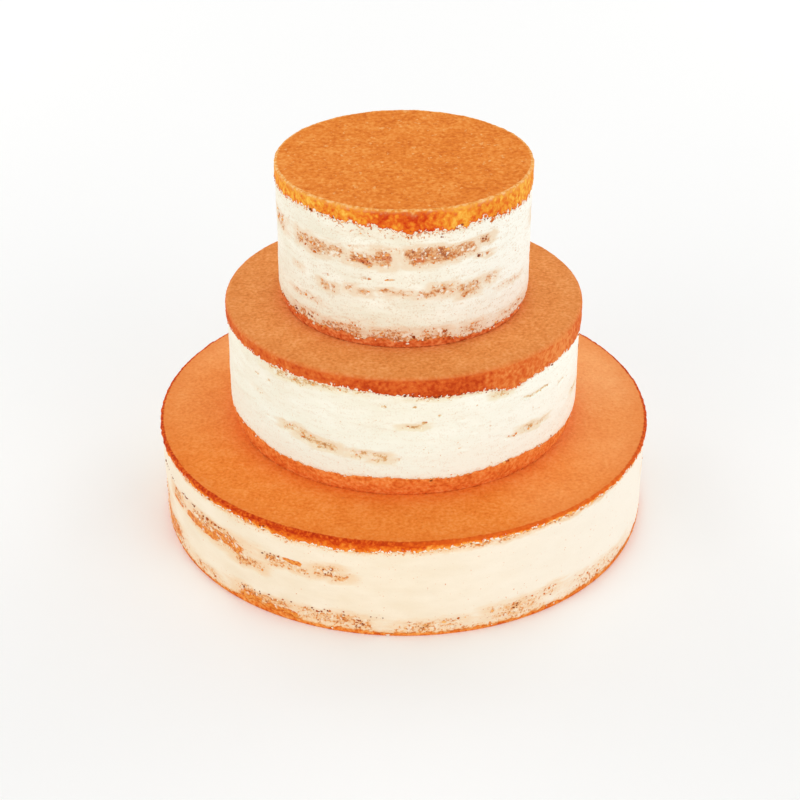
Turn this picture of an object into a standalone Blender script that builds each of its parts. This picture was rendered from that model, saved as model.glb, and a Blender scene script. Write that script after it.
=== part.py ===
"""Three-tier layer cake: round sponge layers, filled and thinly coated with cream.

The cake stands on its base at the origin, its axis along +Z and its front towards -Y. Angles run
round the axis from the front towards +X. Each tier is a stack of sponge and cream layers. Its coat
is a thin ring of cream, scraped round the side, that leaves the edge of the top sponge bare.
All sizes are in metres.
"""

import math
from dataclasses import dataclass

import bmesh
import bpy
from mathutils import Vector, noise

GAP = 0.0003               # space kept between touching pieces
COAT_INSET = 0.0008        # how far the coat's face lies inside the bare sponge's edge
COAT_THICKNESS = 0.0020
COVERED_SEGMENTS = 40      # sides of a layer that the coat hides
CRUMB_RELIEF = 0.0004      # how far crumbs stand out of a bare sponge side
SCRAPE_DEPTH = 0.0009      # how much of the coat a thin band loses
RIDGE_DEPTH = 0.00045      # height of the ridges that the scraper leaves in the cream
SHARP_ANGLE = math.radians(35)
CORNER_CUT = 0.3           # share of the top edge's rounding that is gone at its middle
FACE_START = 2.5           # where the flat top face starts, in roundings from the edge
RIDGE_SLIMNESS = 3.0       # how many times longer round the side a ridge is than it is high

# Patch length of each kind of unevenness, and a lane that keeps it from matching the others
TOP_EDGE_WANDER = (0.0070, 3.7)
LOW_EDGE_WANDER = (0.0080, 9.4)
RIDGE_WANDER = (0.0300, 5.2)
CRUMB_WANDER = (0.0041, 12.6)
RIM_WANDER = (0.0083, 20.1)


@dataclass
class Tier:
    """One tier. Heights are above the tier's base, and angles are in degrees."""

    name: str
    base: float            # height of the tier's base above the cake's
    radius: float          # of the bare sponge at the top
    segments: int
    coat_rows: int
    layers: tuple          # name and height of each layer, from the base up
    rounding: float        # radius of the top edge
    rim_rise: float        # height of the baked rim above the top face
    foot_in: float         # how far the side draws in at the base
    foot_height: float     # height over which it does so
    coat_top: float        # mean height of the coat's upper edge
    coat_slant: float      # how far that edge drops from the middle to the right
    coat_foot: float       # mean height of the coat's lower edge
    ragged: float          # how far both edges wander
    dips: tuple            # lower stretches of the upper edge: angle, half width, depth
    thin_bands: tuple      # where crumb shows through: angle, half width, height, half height


BOTTOM = Tier(
    name="bottom", base=0.0, radius=0.1400, segments=108, coat_rows=5,
    layers=(("sponge_3", 0.015), ("cream_2", 0.014), ("sponge_2", 0.015),
            ("cream_1", 0.006), ("sponge_1", 0.011)),
    rounding=0.0012, rim_rise=0.0007, foot_in=0.0010, foot_height=0.006,
    coat_top=0.0580, coat_slant=0.0, coat_foot=0.0030, ragged=0.0012,
    dips=((-10, 18, 0.0028), (150, 25, 0.0020)),
    thin_bands=((-48, 14, 0.0355, 0.0035), (-24, 12, 0.0390, 0.0030), (110, 25, 0.0360, 0.0040),
                (200, 30, 0.0380, 0.0035)),
)
MIDDLE = Tier(
    name="middle", base=0.0610, radius=0.0995, segments=84, coat_rows=6,
    layers=(("sponge_4", 0.0155), ("cream_3", 0.0065), ("sponge_3", 0.012), ("cream_2", 0.006),
            ("sponge_2", 0.011), ("cream_1", 0.007), ("sponge_1", 0.016)),
    rounding=0.0024, rim_rise=0.0, foot_in=0.0035, foot_height=0.015,
    coat_top=0.0627, coat_slant=0.0028, coat_foot=0.0123, ragged=0.0015,
    dips=(),
    thin_bands=((-20, 24, 0.0280, 0.0060), (44, 16, 0.0290, 0.0055), (46, 14, 0.0470, 0.0030),
                (130, 30, 0.0460, 0.0040), (205, 40, 0.0285, 0.0060)),
)
TOP = Tier(
    name="top", base=0.1350, radius=0.0695, segments=72, coat_rows=8,
    layers=(("sponge_4", 0.013), ("cream_3", 0.012), ("sponge_3", 0.013), ("cream_2", 0.008),
            ("sponge_2", 0.013), ("cream_1", 0.007), ("sponge_1", 0.0135)),
    rounding=0.0009, rim_rise=0.0, foot_in=0.0020, foot_height=0.012,
    coat_top=0.0688, coat_slant=0.0018, coat_foot=0.0025, ragged=0.0014,
    dips=(),
    thin_bands=((-5, 48, 0.0525, 0.0065), (20, 28, 0.0315, 0.0060), (130, 50, 0.0520, 0.0060),
                (215, 40, 0.0320, 0.0060)),
)
TIERS = (BOTTOM, MIDDLE, TOP)

# Colours as red, green and blue from 0 to 1, and how rough each surface is
CREAM_COLOUR = (0.94, 0.86, 0.71)
CRUMB_COLOUR = (0.80, 0.47, 0.20)
BARE_COLOURS = {
    "bottom_sponge_1": (0.83, 0.26, 0.07),
    "bottom_sponge_3": (0.78, 0.28, 0.08),
    "middle_sponge_1": (0.74, 0.25, 0.07),
    "middle_sponge_4": (0.75, 0.19, 0.04),
    "top_sponge_1": (0.79, 0.25, 0.05),
    "top_sponge_4": (0.80, 0.40, 0.16),
}
CREAM_ROUGHNESS = 0.45
CRUMB_ROUGHNESS = 0.85


def wander(tier, angle, height, patch, lane):
    """Smooth unevenness from -1 to 1, in patches about this long round the side."""
    across = tier.radius / patch
    place = Vector((across * math.sin(angle), -across * math.cos(angle), height / patch + lane))
    return noise.noise(place)


def bump(distance, half_width):
    """A smooth hump: 1 at the middle and 0 from half_width outwards."""
    share = max(0.0, 1.0 - abs(distance) / half_width)
    return share * share * (3.0 - 2.0 * share)


def turn_between(angle, degrees):
    """Degrees from a direction given in degrees to an angle given in radians."""
    return (math.degrees(angle) - degrees + 180.0) % 360.0 - 180.0


def coat_top_edge(tier, angle):
    """Height of the coat's ragged upper edge."""
    edge = tier.coat_top - tier.coat_slant * math.sin(angle)
    edge += tier.ragged * wander(tier, angle, 0.0, *TOP_EDGE_WANDER)
    for degrees, half_width, depth in tier.dips:
        edge -= depth * bump(turn_between(angle, degrees), half_width)
    return edge


def coat_low_edge(tier, angle):
    """Height of the coat's ragged lower edge."""
    return tier.coat_foot + tier.ragged * wander(tier, angle, 0.0, *LOW_EDGE_WANDER)


def drawn_in(tier, height):
    """How far the side draws in at this height, where the tier rounds down to its base."""
    share = max(0.0, 1.0 - height / tier.foot_height)
    return tier.foot_in * share * share


def coat_radius(tier, angle, height):
    """Radius of the coat's scraped outer face."""
    radius = tier.radius - COAT_INSET - drawn_in(tier, height)
    radius += RIDGE_DEPTH * wander(tier, angle, RIDGE_SLIMNESS * height, *RIDGE_WANDER)
    for degrees, half_width, middle, half_height in tier.thin_bands:
        across = bump(turn_between(angle, degrees), half_width)
        radius -= SCRAPE_DEPTH * across * bump(height - middle, half_height)
    return radius


def covered_radius(tier, height):
    """Radius of the layers behind the coat."""
    return tier.radius - COAT_INSET - COAT_THICKNESS - GAP - drawn_in(tier, height)


def bare_radius(tier, angle, height):
    """Radius of a sponge side that no cream covers, rough with crumbs."""
    crumbs = CRUMB_RELIEF * wander(tier, angle, height, *CRUMB_WANDER)
    return tier.radius - drawn_in(tier, height) + crumbs


def ring_solid(name, rings, segments, hollow=False):
    """Spins a row of points into a tube, whose rows then take the radius and height of each ring."""
    model = bmesh.new()
    row = [model.verts.new((1.0, 0.0, float(index))) for index in range(len(rings))]
    line = [model.edges.new(pair) for pair in zip(row, row[1:])]
    if hollow:
        line.append(model.edges.new((row[-1], row[0])))
    bmesh.ops.spin(model, geom=row + line, cent=(0, 0, 0), axis=(0, 0, 1), angle=math.tau,
                   steps=segments, use_merge=True)
    for vert in model.verts:
        angle = math.atan2(vert.co.x, -vert.co.y)
        radius, height = rings[round(vert.co.z)](angle)
        vert.co = Vector((radius * math.sin(angle), -radius * math.cos(angle), height))
    if not hollow:
        bmesh.ops.holes_fill(model, edges=model.edges, sides=0)
    model.normal_update()
    bmesh.ops.recalc_face_normals(model, faces=model.faces)
    mesh = bpy.data.meshes.new(name)
    model.to_mesh(mesh)
    model.free()
    mesh.shade_smooth()
    mesh.set_sharp_from_angle(angle=SHARP_ANGLE)
    return mesh


def add_piece(name, mesh, tier_empty, colour, roughness):
    """Puts a mesh into the scene as a named piece of its tier, in its own material."""
    material = bpy.data.materials.new(name)
    material.use_nodes = True
    shader = material.node_tree.nodes["Principled BSDF"]
    shader.inputs["Base Color"].default_value = (*colour, 1.0)
    shader.inputs["Roughness"].default_value = roughness
    shader.inputs["Metallic"].default_value = 0.0
    mesh.materials.append(material)
    piece = bpy.data.objects.new(name, mesh)
    piece.parent = tier_empty
    bpy.context.scene.collection.objects.link(piece)
    return piece


def covered_layer(tier, name, low, high):
    """A plain round layer behind the coat."""
    rings = (
        lambda angle: (covered_radius(tier, low), low),
        lambda angle: (covered_radius(tier, high), high),
    )
    return ring_solid(name, rings, COVERED_SEGMENTS)


def top_sponge(tier, name, low, high):
    """The uppermost sponge: a rounded, bare edge that steps in behind the coat's upper edge."""

    def lip(angle):
        return coat_top_edge(tier, angle) + GAP

    def rim_height(angle):
        return high + tier.rim_rise * (1.0 + wander(tier, angle, 0.0, *RIM_WANDER)) / 2

    def step(angle):
        return covered_radius(tier, lip(angle)), lip(angle)

    def lip_ring(angle):
        return bare_radius(tier, angle, lip(angle)), lip(angle)

    def side(angle):
        height = (high - tier.rounding + lip(angle)) / 2
        return bare_radius(tier, angle, height), height

    def edge_low(angle):
        height = high - tier.rounding
        return bare_radius(tier, angle, height), height

    def edge_high(angle):
        inward = CORNER_CUT * tier.rounding
        return bare_radius(tier, angle, high) - inward, rim_height(angle) - inward

    def face_edge(angle):
        return tier.radius - FACE_START * tier.rounding, high

    def foot(angle):
        return covered_radius(tier, low), low

    rings = (foot, step, lip_ring, side, edge_low, edge_high, face_edge)
    return ring_solid(name, rings, tier.segments)


def base_sponge(tier, name, low, high):
    """The lowest sponge: a bare foot below the coat, stepped in behind the coat's lower edge."""

    def lip(angle):
        return coat_low_edge(tier, angle) - GAP

    def foot(angle):
        return tier.radius - COAT_INSET - tier.foot_in, low

    def side(angle):
        height = (low + lip(angle)) / 2
        return bare_radius(tier, angle, height) - COAT_INSET, height

    def lip_ring(angle):
        return bare_radius(tier, angle, lip(angle)) - COAT_INSET, lip(angle)

    def step(angle):
        return covered_radius(tier, lip(angle)), lip(angle)

    def top(angle):
        return covered_radius(tier, high), high

    return ring_solid(name, (foot, side, lip_ring, step, top), tier.segments)


def coat(tier, name):
    """The scraped cream round the side: an uneven outer face over a plain inner one."""

    def outer(share):
        def ring(angle):
            low = coat_low_edge(tier, angle)
            height = low + share * (coat_top_edge(tier, angle) - low)
            return coat_radius(tier, angle, height), height
        return ring

    def inner(height_at):
        def ring(angle):
            height = height_at(tier, angle)
            return covered_radius(tier, height) + GAP, height
        return ring

    def bend(tier, _angle):
        """The inner face bends where the tier starts to round down to its base."""
        return tier.foot_height

    rings = [outer(row / tier.coat_rows) for row in range(tier.coat_rows + 1)]
    rings += [inner(coat_top_edge), inner(bend), inner(coat_low_edge)]
    return ring_solid(name, rings, tier.segments, hollow=True)


def build_tier(tier):
    """Stacks a tier's layers on its base and adds its coat."""
    empty = bpy.data.objects.new(tier.name + "_tier", None)
    empty.location.z = tier.base
    bpy.context.scene.collection.objects.link(empty)

    height = 0.0
    for index, (layer, thickness) in enumerate(tier.layers):
        name = f"{tier.name}_{layer}"
        on_the_table = tier is BOTTOM and index == 0
        on_show = tier is TOP and index == len(tier.layers) - 1
        low = height if on_the_table else height + GAP / 2
        height += thickness
        high = height if on_show else height - GAP / 2
        if index == 0:
            mesh = base_sponge(tier, name, low, high)
        elif index == len(tier.layers) - 1:
            mesh = top_sponge(tier, name, low, high)
        else:
            mesh = covered_layer(tier, name, low, high)
        is_cream = layer.startswith("cream")
        colour = CREAM_COLOUR if is_cream else BARE_COLOURS.get(name, CRUMB_COLOUR)
        roughness = CREAM_ROUGHNESS if is_cream else CRUMB_ROUGHNESS
        add_piece(name, mesh, empty, colour, roughness)
    coat_name = tier.name + "_coat"
    add_piece(coat_name, coat(tier, coat_name), empty, CREAM_COLOUR, CREAM_ROUGHNESS)


for old in list(bpy.data.objects):
    bpy.data.objects.remove(old, do_unlink=True)
for each_tier in TIERS:
    build_tier(each_tier)
bpy.context.view_layer.update()
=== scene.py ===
import itertools
import math

import bpy
import numpy as np
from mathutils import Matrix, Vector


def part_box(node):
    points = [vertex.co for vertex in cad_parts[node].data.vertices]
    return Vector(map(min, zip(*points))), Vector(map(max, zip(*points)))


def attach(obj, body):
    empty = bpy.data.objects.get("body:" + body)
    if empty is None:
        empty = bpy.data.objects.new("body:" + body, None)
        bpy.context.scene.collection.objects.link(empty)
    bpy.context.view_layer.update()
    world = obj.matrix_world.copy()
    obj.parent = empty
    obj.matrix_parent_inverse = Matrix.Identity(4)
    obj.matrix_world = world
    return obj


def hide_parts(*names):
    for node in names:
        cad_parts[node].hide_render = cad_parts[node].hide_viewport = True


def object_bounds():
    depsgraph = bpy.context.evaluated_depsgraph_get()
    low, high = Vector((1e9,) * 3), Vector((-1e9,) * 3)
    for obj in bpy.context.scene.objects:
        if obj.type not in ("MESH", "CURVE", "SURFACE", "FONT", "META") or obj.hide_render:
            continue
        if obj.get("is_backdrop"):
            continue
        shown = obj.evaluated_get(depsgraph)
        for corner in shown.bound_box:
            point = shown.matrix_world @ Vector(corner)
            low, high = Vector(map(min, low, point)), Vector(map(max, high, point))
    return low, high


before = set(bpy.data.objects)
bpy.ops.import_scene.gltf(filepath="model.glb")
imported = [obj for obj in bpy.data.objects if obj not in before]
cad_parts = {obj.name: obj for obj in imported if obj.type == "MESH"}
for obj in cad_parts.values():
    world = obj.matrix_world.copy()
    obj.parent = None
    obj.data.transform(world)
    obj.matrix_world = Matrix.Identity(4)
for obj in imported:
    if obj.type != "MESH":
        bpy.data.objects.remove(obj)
cad_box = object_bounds()

# Camera: it looks down on the cake from the front, at about the height of a person standing at a
# table, through a long lens that keeps the tiers' sides nearly upright.
CAMERA_PLACE = (-0.0021, -0.8681, 0.5755)
CAMERA_DIP = math.radians(30.53)        # how far the view points below the horizon
LENS = 78.31
SENSOR = 36.0

bpy.ops.object.select_all(action="DESELECT")
bpy.ops.object.camera_add(location=CAMERA_PLACE, rotation=(math.pi / 2 - CAMERA_DIP, 0.0, 0.0))
camera = bpy.context.object
camera.data.lens = LENS
camera.data.sensor_width = SENSOR
camera.data.clip_start = 0.05
bpy.context.scene.camera = camera


# Covered layers: rounds of cut sponge and the whipped cream spread between them. The coats hide
# them, so the solids stay as they are and take a crumb finish or a cream one.
def linear(red, green, blue):
    """A colour given as it looks on screen, from 0 to 255, as the light that it stands for."""
    shares = [value / 255 for value in (red, green, blue)]
    light = [s / 12.92 if s <= 0.04045 else ((s + 0.055) / 1.055) ** 2.4 for s in shares]
    return (*light, 1.0)


def add_node(tree, kind, sockets=None, **settings):
    """A shader node, with its settings, and with values or links for its sockets."""
    node = tree.nodes.new("ShaderNode" + kind)
    for name, value in settings.items():
        setattr(node, name, value)
    for name, value in (sockets or {}).items():
        if isinstance(value, bpy.types.NodeSocket):
            tree.links.new(value, node.inputs[name])
        else:
            node.inputs[name].default_value = value
    return node


def start_finish(name, roughness, gloss):
    """A new material, with its node tree, its shader and the place of each point on the cake."""
    material = bpy.data.materials.new(name)
    material.use_nodes = True
    tree = material.node_tree
    shader = tree.nodes["Principled BSDF"]
    shader.inputs["Roughness"].default_value = roughness
    shader.inputs["Specular IOR Level"].default_value = gloss
    place = add_node(tree, "TexCoord").outputs["Object"]
    return material, tree, shader, place


def speckle(tree, place, size, detail=2.0, flatten=1.0):
    """Noise from 0 to 1 in lumps of this size. Flatten above 1 makes them lie flat."""
    if flatten != 1.0:
        place = add_node(tree, "Mapping", {"Vector": place, "Scale": (1.0, 1.0, flatten)}).outputs[0]
    sockets = {"Vector": place, "Scale": 1.0 / size, "Detail": detail}
    return add_node(tree, "TexNoise", sockets).outputs["Fac"]


def colour_scale(tree, share, *stops):
    """Colours, given as they look on screen, at shares of a scale and smoothly between them."""
    node = add_node(tree, "ValToRGB", {"Fac": share})
    points = node.color_ramp.elements
    while len(points) < len(stops):
        points.new(0.5)
    for point, (position, colour) in zip(points, stops):
        point.position = position
        point.color = linear(*colour)
    return node.outputs["Color"]


def paint(tree, shader, colour):
    """Gives the surface its colour."""
    tree.links.new(colour, shader.inputs["Base Color"])


def roughen(tree, shader, height, depth):
    """Lets a height from 0 to 1 stand out of the surface by this depth."""
    node = add_node(tree, "Bump", {"Height": height, "Distance": depth, "Strength": 1.0})
    tree.links.new(node.outputs["Normal"], shader.inputs["Normal"])


MM = 0.001                  # lengths are in metres, and most are given as millimetres
SPONGE_GLOSS = 0.08         # dry, open crumb hardly shines
CREAM_GLOSS = 0.35
CREAM_ROUGHNESS = 0.5
CUT_CRUMB_TONES = ((0.30, (196, 128, 70)), (0.52, (226, 166, 104)), (0.75, (240, 190, 130)))
WHIPPED_CREAM_TONES = ((0.35, (244, 232, 206)), (0.65, (251, 244, 226)))

cut_crumb, tree, shader, place = start_finish("cut crumb", 0.9, SPONGE_GLOSS)
pores = speckle(tree, place, 1.6 * MM, 3.0)
paint(tree, shader, colour_scale(tree, pores, *CUT_CRUMB_TONES))
roughen(tree, shader, pores, 0.4 * MM)

whipped_cream, tree, shader, place = start_finish("whipped cream", CREAM_ROUGHNESS, CREAM_GLOSS)
folds = speckle(tree, place, 6 * MM, 2.0)
paint(tree, shader, colour_scale(tree, folds, *WHIPPED_CREAM_TONES))
roughen(tree, shader, folds, 0.3 * MM)

COVERED_LAYERS = {
    "bottom": ("cream_1", "cream_2", "sponge_2"),
    "middle": ("cream_1", "cream_2", "cream_3", "sponge_2", "sponge_3"),
    "top": ("cream_1", "cream_2", "cream_3", "sponge_2", "sponge_3"),
}
for tier, layers in COVERED_LAYERS.items():
    for layer in layers:
        layer_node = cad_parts[f"{tier}_{layer}"]
        layer_node.data.materials.clear()
        layer_node.data.materials.append(whipped_cream if "cream" in layer else cut_crumb)


# Sponge feet: the lowest sponge of each tier, baked brown outside and left bare below the coat.
# Each is turned from its outline, rounded in at the foot, and its side is broken into crumbs.
COAT_THICKNESS = 2.0 * MM
COVERED_GAP = 0.3 * MM      # between the coat's back and the layers behind it
NEAR = 0.05 * MM            # places closer than this are the same place
MERGE = 0.01 * MM           # points closer than this become one


class Tier:
    """What the pieces of one tier share. Lengths are given in millimetres here, and heights are
    above the tier's base. Further down each section adds its own values to a tier."""

    def __init__(self, name, foot_layer, radius, coat_inset, steps, row):
        self.name = name
        self.foot_node = f"{name}_{foot_layer}"
        self.crown_node = f"{name}_sponge_1"
        self.coat_node = f"{name}_coat"
        self.radius = radius * MM
        self.steps = steps              # points round the side
        self.row = row * MM             # distance between the rows of points that carry the relief
        self.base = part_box(self.foot_node)[0][2]
        self.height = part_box(self.crown_node)[1][2] - self.base
        self.coat_face = (radius - coat_inset) * MM


BOTTOM = Tier("bottom", "sponge_3", radius=140.0, coat_inset=0.8, steps=1060, row=0.8)
MIDDLE = Tier("middle", "sponge_4", radius=99.5, coat_inset=0.8, steps=860, row=0.75)
TOP = Tier("top", "sponge_4", radius=69.5, coat_inset=0.3, steps=780, row=0.69)
TIERS = (BOTTOM, MIDDLE, TOP)

# The coat's lower edge as height in millimetres at degrees from the front, to the right.
BOTTOM.low_line = (
    (-70, 3.5), (-50, 2.2), (-36, 4.2), (-20, 2.2), (10, 1.8), (40, 3.0), (70, 4.0), (180, 3.0),
)
MIDDLE.low_line = (
    (-75, 13.8), (-60, 14), (-40, 10.8), (-20, 10.6), (-5, 12.6), (10, 10.8), (30, 12.4),
    (40, 13.8), (52, 12.2), (66, 10), (95, 10.5), (140, 12.4), (180, 12), (230, 12.8),
)
TOP.low_line = (
    (-60, 6.4), (-44, 5.4), (-30, 5.4), (-18, 4.4), (-8, 4.8), (2, 3.8), (18, 4.9), (29, 2.6),
    (50, 3.6), (90, 2.6), (150, 4.5), (200, 3), (250, 4.5),
)
LEAST_LOW_EDGE = 0.9 * MM
# How far the coat's edges wander, and how far the side draws in at the foot and from what height.
BOTTOM.ragged, MIDDLE.ragged, TOP.ragged = 1.4 * MM, 0.8 * MM, 2.2 * MM
BOTTOM.foot_in, BOTTOM.foot_height = 1.0 * MM, 6.0 * MM
MIDDLE.foot_in, MIDDLE.foot_height = 3.5 * MM, 15.0 * MM
TOP.foot_in, TOP.foot_height = 2.0 * MM, 12.0 * MM


def turn_outline(name, outline, steps):
    """Draws half an outline of radii and heights corner by corner, and turns it into a piece."""
    bpy.ops.object.select_all(action="DESELECT")
    bpy.ops.mesh.primitive_plane_add(size=MM, location=(0.0, 0.0, 0.0))
    piece = bpy.context.object
    piece.name = name
    bpy.ops.object.mode_set(mode="EDIT")
    bpy.ops.mesh.merge(type="CENTER")
    bpy.ops.transform.translate(value=(outline[0][0], 0.0, outline[0][1]))
    for start, end in zip(outline, outline[1:]):
        step = (end[0] - start[0], 0.0, end[1] - start[1])
        bpy.ops.mesh.extrude_region_move(TRANSFORM_OT_translate={"value": step})
    bpy.ops.mesh.select_all(action="SELECT")
    bpy.ops.mesh.remove_doubles(threshold=MERGE)
    bpy.ops.object.mode_set(mode="OBJECT")
    bpy.ops.object.modifier_add(type="SCREW")
    screw = piece.modifiers[-1]
    screw.steps = screw.render_steps = steps
    screw.use_merge_vertices = True
    screw.merge_threshold = MERGE
    bpy.ops.object.modifier_apply(modifier=screw.name)
    bpy.ops.object.mode_set(mode="EDIT")
    bpy.ops.mesh.select_all(action="SELECT")
    bpy.ops.mesh.normals_make_consistent(inside=False)
    bpy.ops.object.mode_set(mode="OBJECT")
    bpy.ops.object.shade_smooth()
    return piece


def run(start, end, row):
    """Points along a straight stretch of an outline, about a row apart, without the last one."""
    count = max(1, round(math.dist(start, end) / row))
    shares = [index / count for index in range(count)]
    return [(start[0] + s * (end[0] - start[0]), start[1] + s * (end[1] - start[1])) for s in shares]


def read_points(piece):
    """Every point of a piece as a row of x, y and z."""
    flat = np.empty(3 * len(piece.data.vertices))
    piece.data.vertices.foreach_get("co", flat)
    return flat.reshape(-1, 3)


def write_points(piece, points):
    """Moves every point of a piece to its row of x, y and z."""
    piece.data.vertices.foreach_set("co", points.ravel())
    piece.data.update()


def lumps(points, size, seed):
    """Smooth unevenness from -1 to 1 at each point, in lumps of this size."""
    cell = points / size + 31.7 * seed
    low = np.floor(cell).astype(np.int64)
    part = cell - low
    part = part * part * (3.0 - 2.0 * part)
    total = np.zeros(len(points))
    for corner in itertools.product((0, 1), repeat=3):
        spot = low + corner
        scramble = (spot[:, 0] * 73856093) ^ (spot[:, 1] * 19349663) ^ (spot[:, 2] * 83492791)
        scramble = (scramble ^ (scramble >> 13)) * 1274126177 & 0x7FFFFFFF
        value = (scramble >> 8) % 10007 / 5003.0 - 1.0
        total += value * np.prod(np.where(corner, part, 1.0 - part), axis=1)
    return total


def round_side(points):
    """The angle of each point from the front towards +X, and its distance from the axis."""
    return np.arctan2(points[:, 0], -points[:, 1]), np.hypot(points[:, 0], points[:, 1])


def place_round(angle, radius, height):
    """Points from their angles, radii and heights."""
    return np.stack([radius * np.sin(angle), -radius * np.cos(angle), height + 0.0 * angle], axis=1)


def line_round(angle, knots):
    """A height at each angle, smoothly between the knots of a line that goes once round."""
    knots = sorted((degrees % 360.0, height * MM) for degrees, height in knots)
    knots = [(knots[-1][0] - 360.0, knots[-1][1]), *knots, (knots[0][0] + 360.0, knots[0][1])]
    turns, heights = np.array(knots).T
    degrees = np.degrees(angle) % 360.0
    index = np.searchsorted(turns, degrees, side="right") - 1
    share = (degrees - turns[index]) / (turns[index + 1] - turns[index])
    share = share * share * (3.0 - 2.0 * share)
    return heights[index] * (1.0 - share) + heights[index + 1] * share


EDGE_WAVES = ((0.40, 9.0), (0.45, 3.6), (0.55, 1.7))        # share, and size in millimetres


def edge_wander(tier, angle, seed):
    """The ragged line where a scraper leaves the cream, from about -1 to 1."""
    points = place_round(angle, tier.radius, 0.0)
    return sum(share * lumps(points, size * MM, seed + size) for share, size in EDGE_WAVES)


def coat_low_edge(tier, angle):
    """Height of the coat's lower edge."""
    edge = line_round(angle, tier.low_line) + 0.8 * tier.ragged * edge_wander(tier, angle, 7)
    return np.maximum(edge, LEAST_LOW_EDGE)


def drawn_in(tier, height):
    """How far the side draws in at this height, where the tier rounds down to its base."""
    share = np.clip(1.0 - height / tier.foot_height, 0.0, 1.0)
    return tier.foot_in * share * share


def covered_radius(tier, height):
    """Radius of the layers behind the coat."""
    return tier.coat_face - COAT_THICKNESS - COVERED_GAP - drawn_in(tier, height)


def crumble(points, depth, seed):
    """How far each point of a torn sponge side stands out or back."""
    coarse = 0.55 * lumps(points, 3.4 * MM, seed)
    fine = 0.65 * lumps(points, 1.7 * MM, seed + 1)
    return depth * (coarse + fine)


def sum_of(tree, *terms):
    """The sum of some sockets, each times its own weight."""
    total = 0.0
    for socket, weight in terms:
        sockets = {0: socket, 1: weight, 2: total}
        total = add_node(tree, "Math", sockets, operation="MULTIPLY_ADD").outputs[0]
    return total


BOTTOM.foot_tones = ((0.36, (214, 92, 24)), (0.50, (238, 134, 52)), (0.64, (248, 172, 92)))
MIDDLE.foot_tones = ((0.36, (216, 104, 38)), (0.50, (238, 136, 60)), (0.64, (250, 168, 94)))
TOP.foot_tones = ((0.36, (196, 84, 34)), (0.50, (226, 120, 60)), (0.64, (244, 162, 100)))
FOOT_LIP = 0.4 * MM         # how far the bare side reaches up behind the coat's lower edge
FOOT_INSET = 0.1 * MM       # how far it stands behind the coat's face
FOOT_CRUMBLE = 0.45 * MM    # how deep it is torn
FLOOR_FADE = 1.5 * MM       # it is torn less below this height, so that it stands level
UNDERSIDE_ROW = 10 * MM

for tier in TIERS:
    layer_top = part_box(tier.foot_node)[1][2] - tier.base
    lip = max(height for _, height in tier.low_line) * MM
    face = tier.coat_face - FOOT_INSET
    inner = covered_radius(tier, lip)
    outline = run((0.0, 0.0), (face, 0.0), UNDERSIDE_ROW) + run((face, 0.0), (face, lip), tier.row)
    outline += [(face, lip), (inner, lip), (covered_radius(tier, layer_top), layer_top)]
    outline += [(0.0, layer_top)]
    foot = turn_outline(tier.foot_node + "_crumbed", outline, tier.steps)
    points = read_points(foot)
    angle, radius = round_side(points)
    on_side = (radius > face - NEAR) * 1.0
    above_floor = np.clip(points[:, 2] / FLOOR_FADE, 0.0, 1.0)
    below_lip = np.where(points[:, 2] < lip + NEAR, points[:, 2] / lip, 0.0)
    height = points[:, 2] + below_lip * (coat_low_edge(tier, angle) + FOOT_LIP - lip)
    radius += on_side * (crumble(points, FOOT_CRUMBLE, 11) * above_floor - drawn_in(tier, height))
    write_points(foot, place_round(angle, radius, height + tier.base))

    baked_foot, tree, shader, place = start_finish(tier.name + " baked foot", 0.85, SPONGE_GLOSS)
    patchy = speckle(tree, place, 8 * MM, 2.0)
    crumbs = speckle(tree, place, 1.9 * MM, 3.0)
    tone = sum_of(tree, (patchy, 0.35), (crumbs, 0.65))
    paint(tree, shader, colour_scale(tree, tone, *tier.foot_tones))
    roughen(tree, shader, crumbs, 0.5 * MM)
    foot.data.materials.append(baked_foot)
    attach(foot, "root")
    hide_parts(tier.foot_node)


# Coats: whipped cream spread round each tier and scraped nearly off again with a straight edge, so
# that its edges are torn, and where it is thin the sponge tints it and crumbs break through. Each
# is a ring turned from its outline, and its face sinks in where the cream is thin.

# The coat's upper edge as height in millimetres at degrees from the front, to the right.
BOTTOM.top_line = (
    (-60, 57.4), (-40, 56.2), (-15, 53.6), (0, 55), (20, 57.8), (60, 58.5), (110, 57.5), (150, 56),
    (200, 58), (250, 57.5),
)
MIDDLE.top_line = (
    (-60, 66), (-20, 65), (0, 63.2), (10, 61.6), (22, 61.4), (28, 60), (35, 56.8), (44, 59.5),
    (52, 60.5), (95, 60.4), (180, 62.7), (260, 65.3),
)
TOP.top_line = (
    (-70, 69.7), (-40, 71.3), (-20, 70.2), (-8, 68.6), (0, 67.6), (20, 66.8), (33, 68.4),
    (54, 66.7), (90, 67), (140, 69), (190, 68), (240, 69.6),
)

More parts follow.
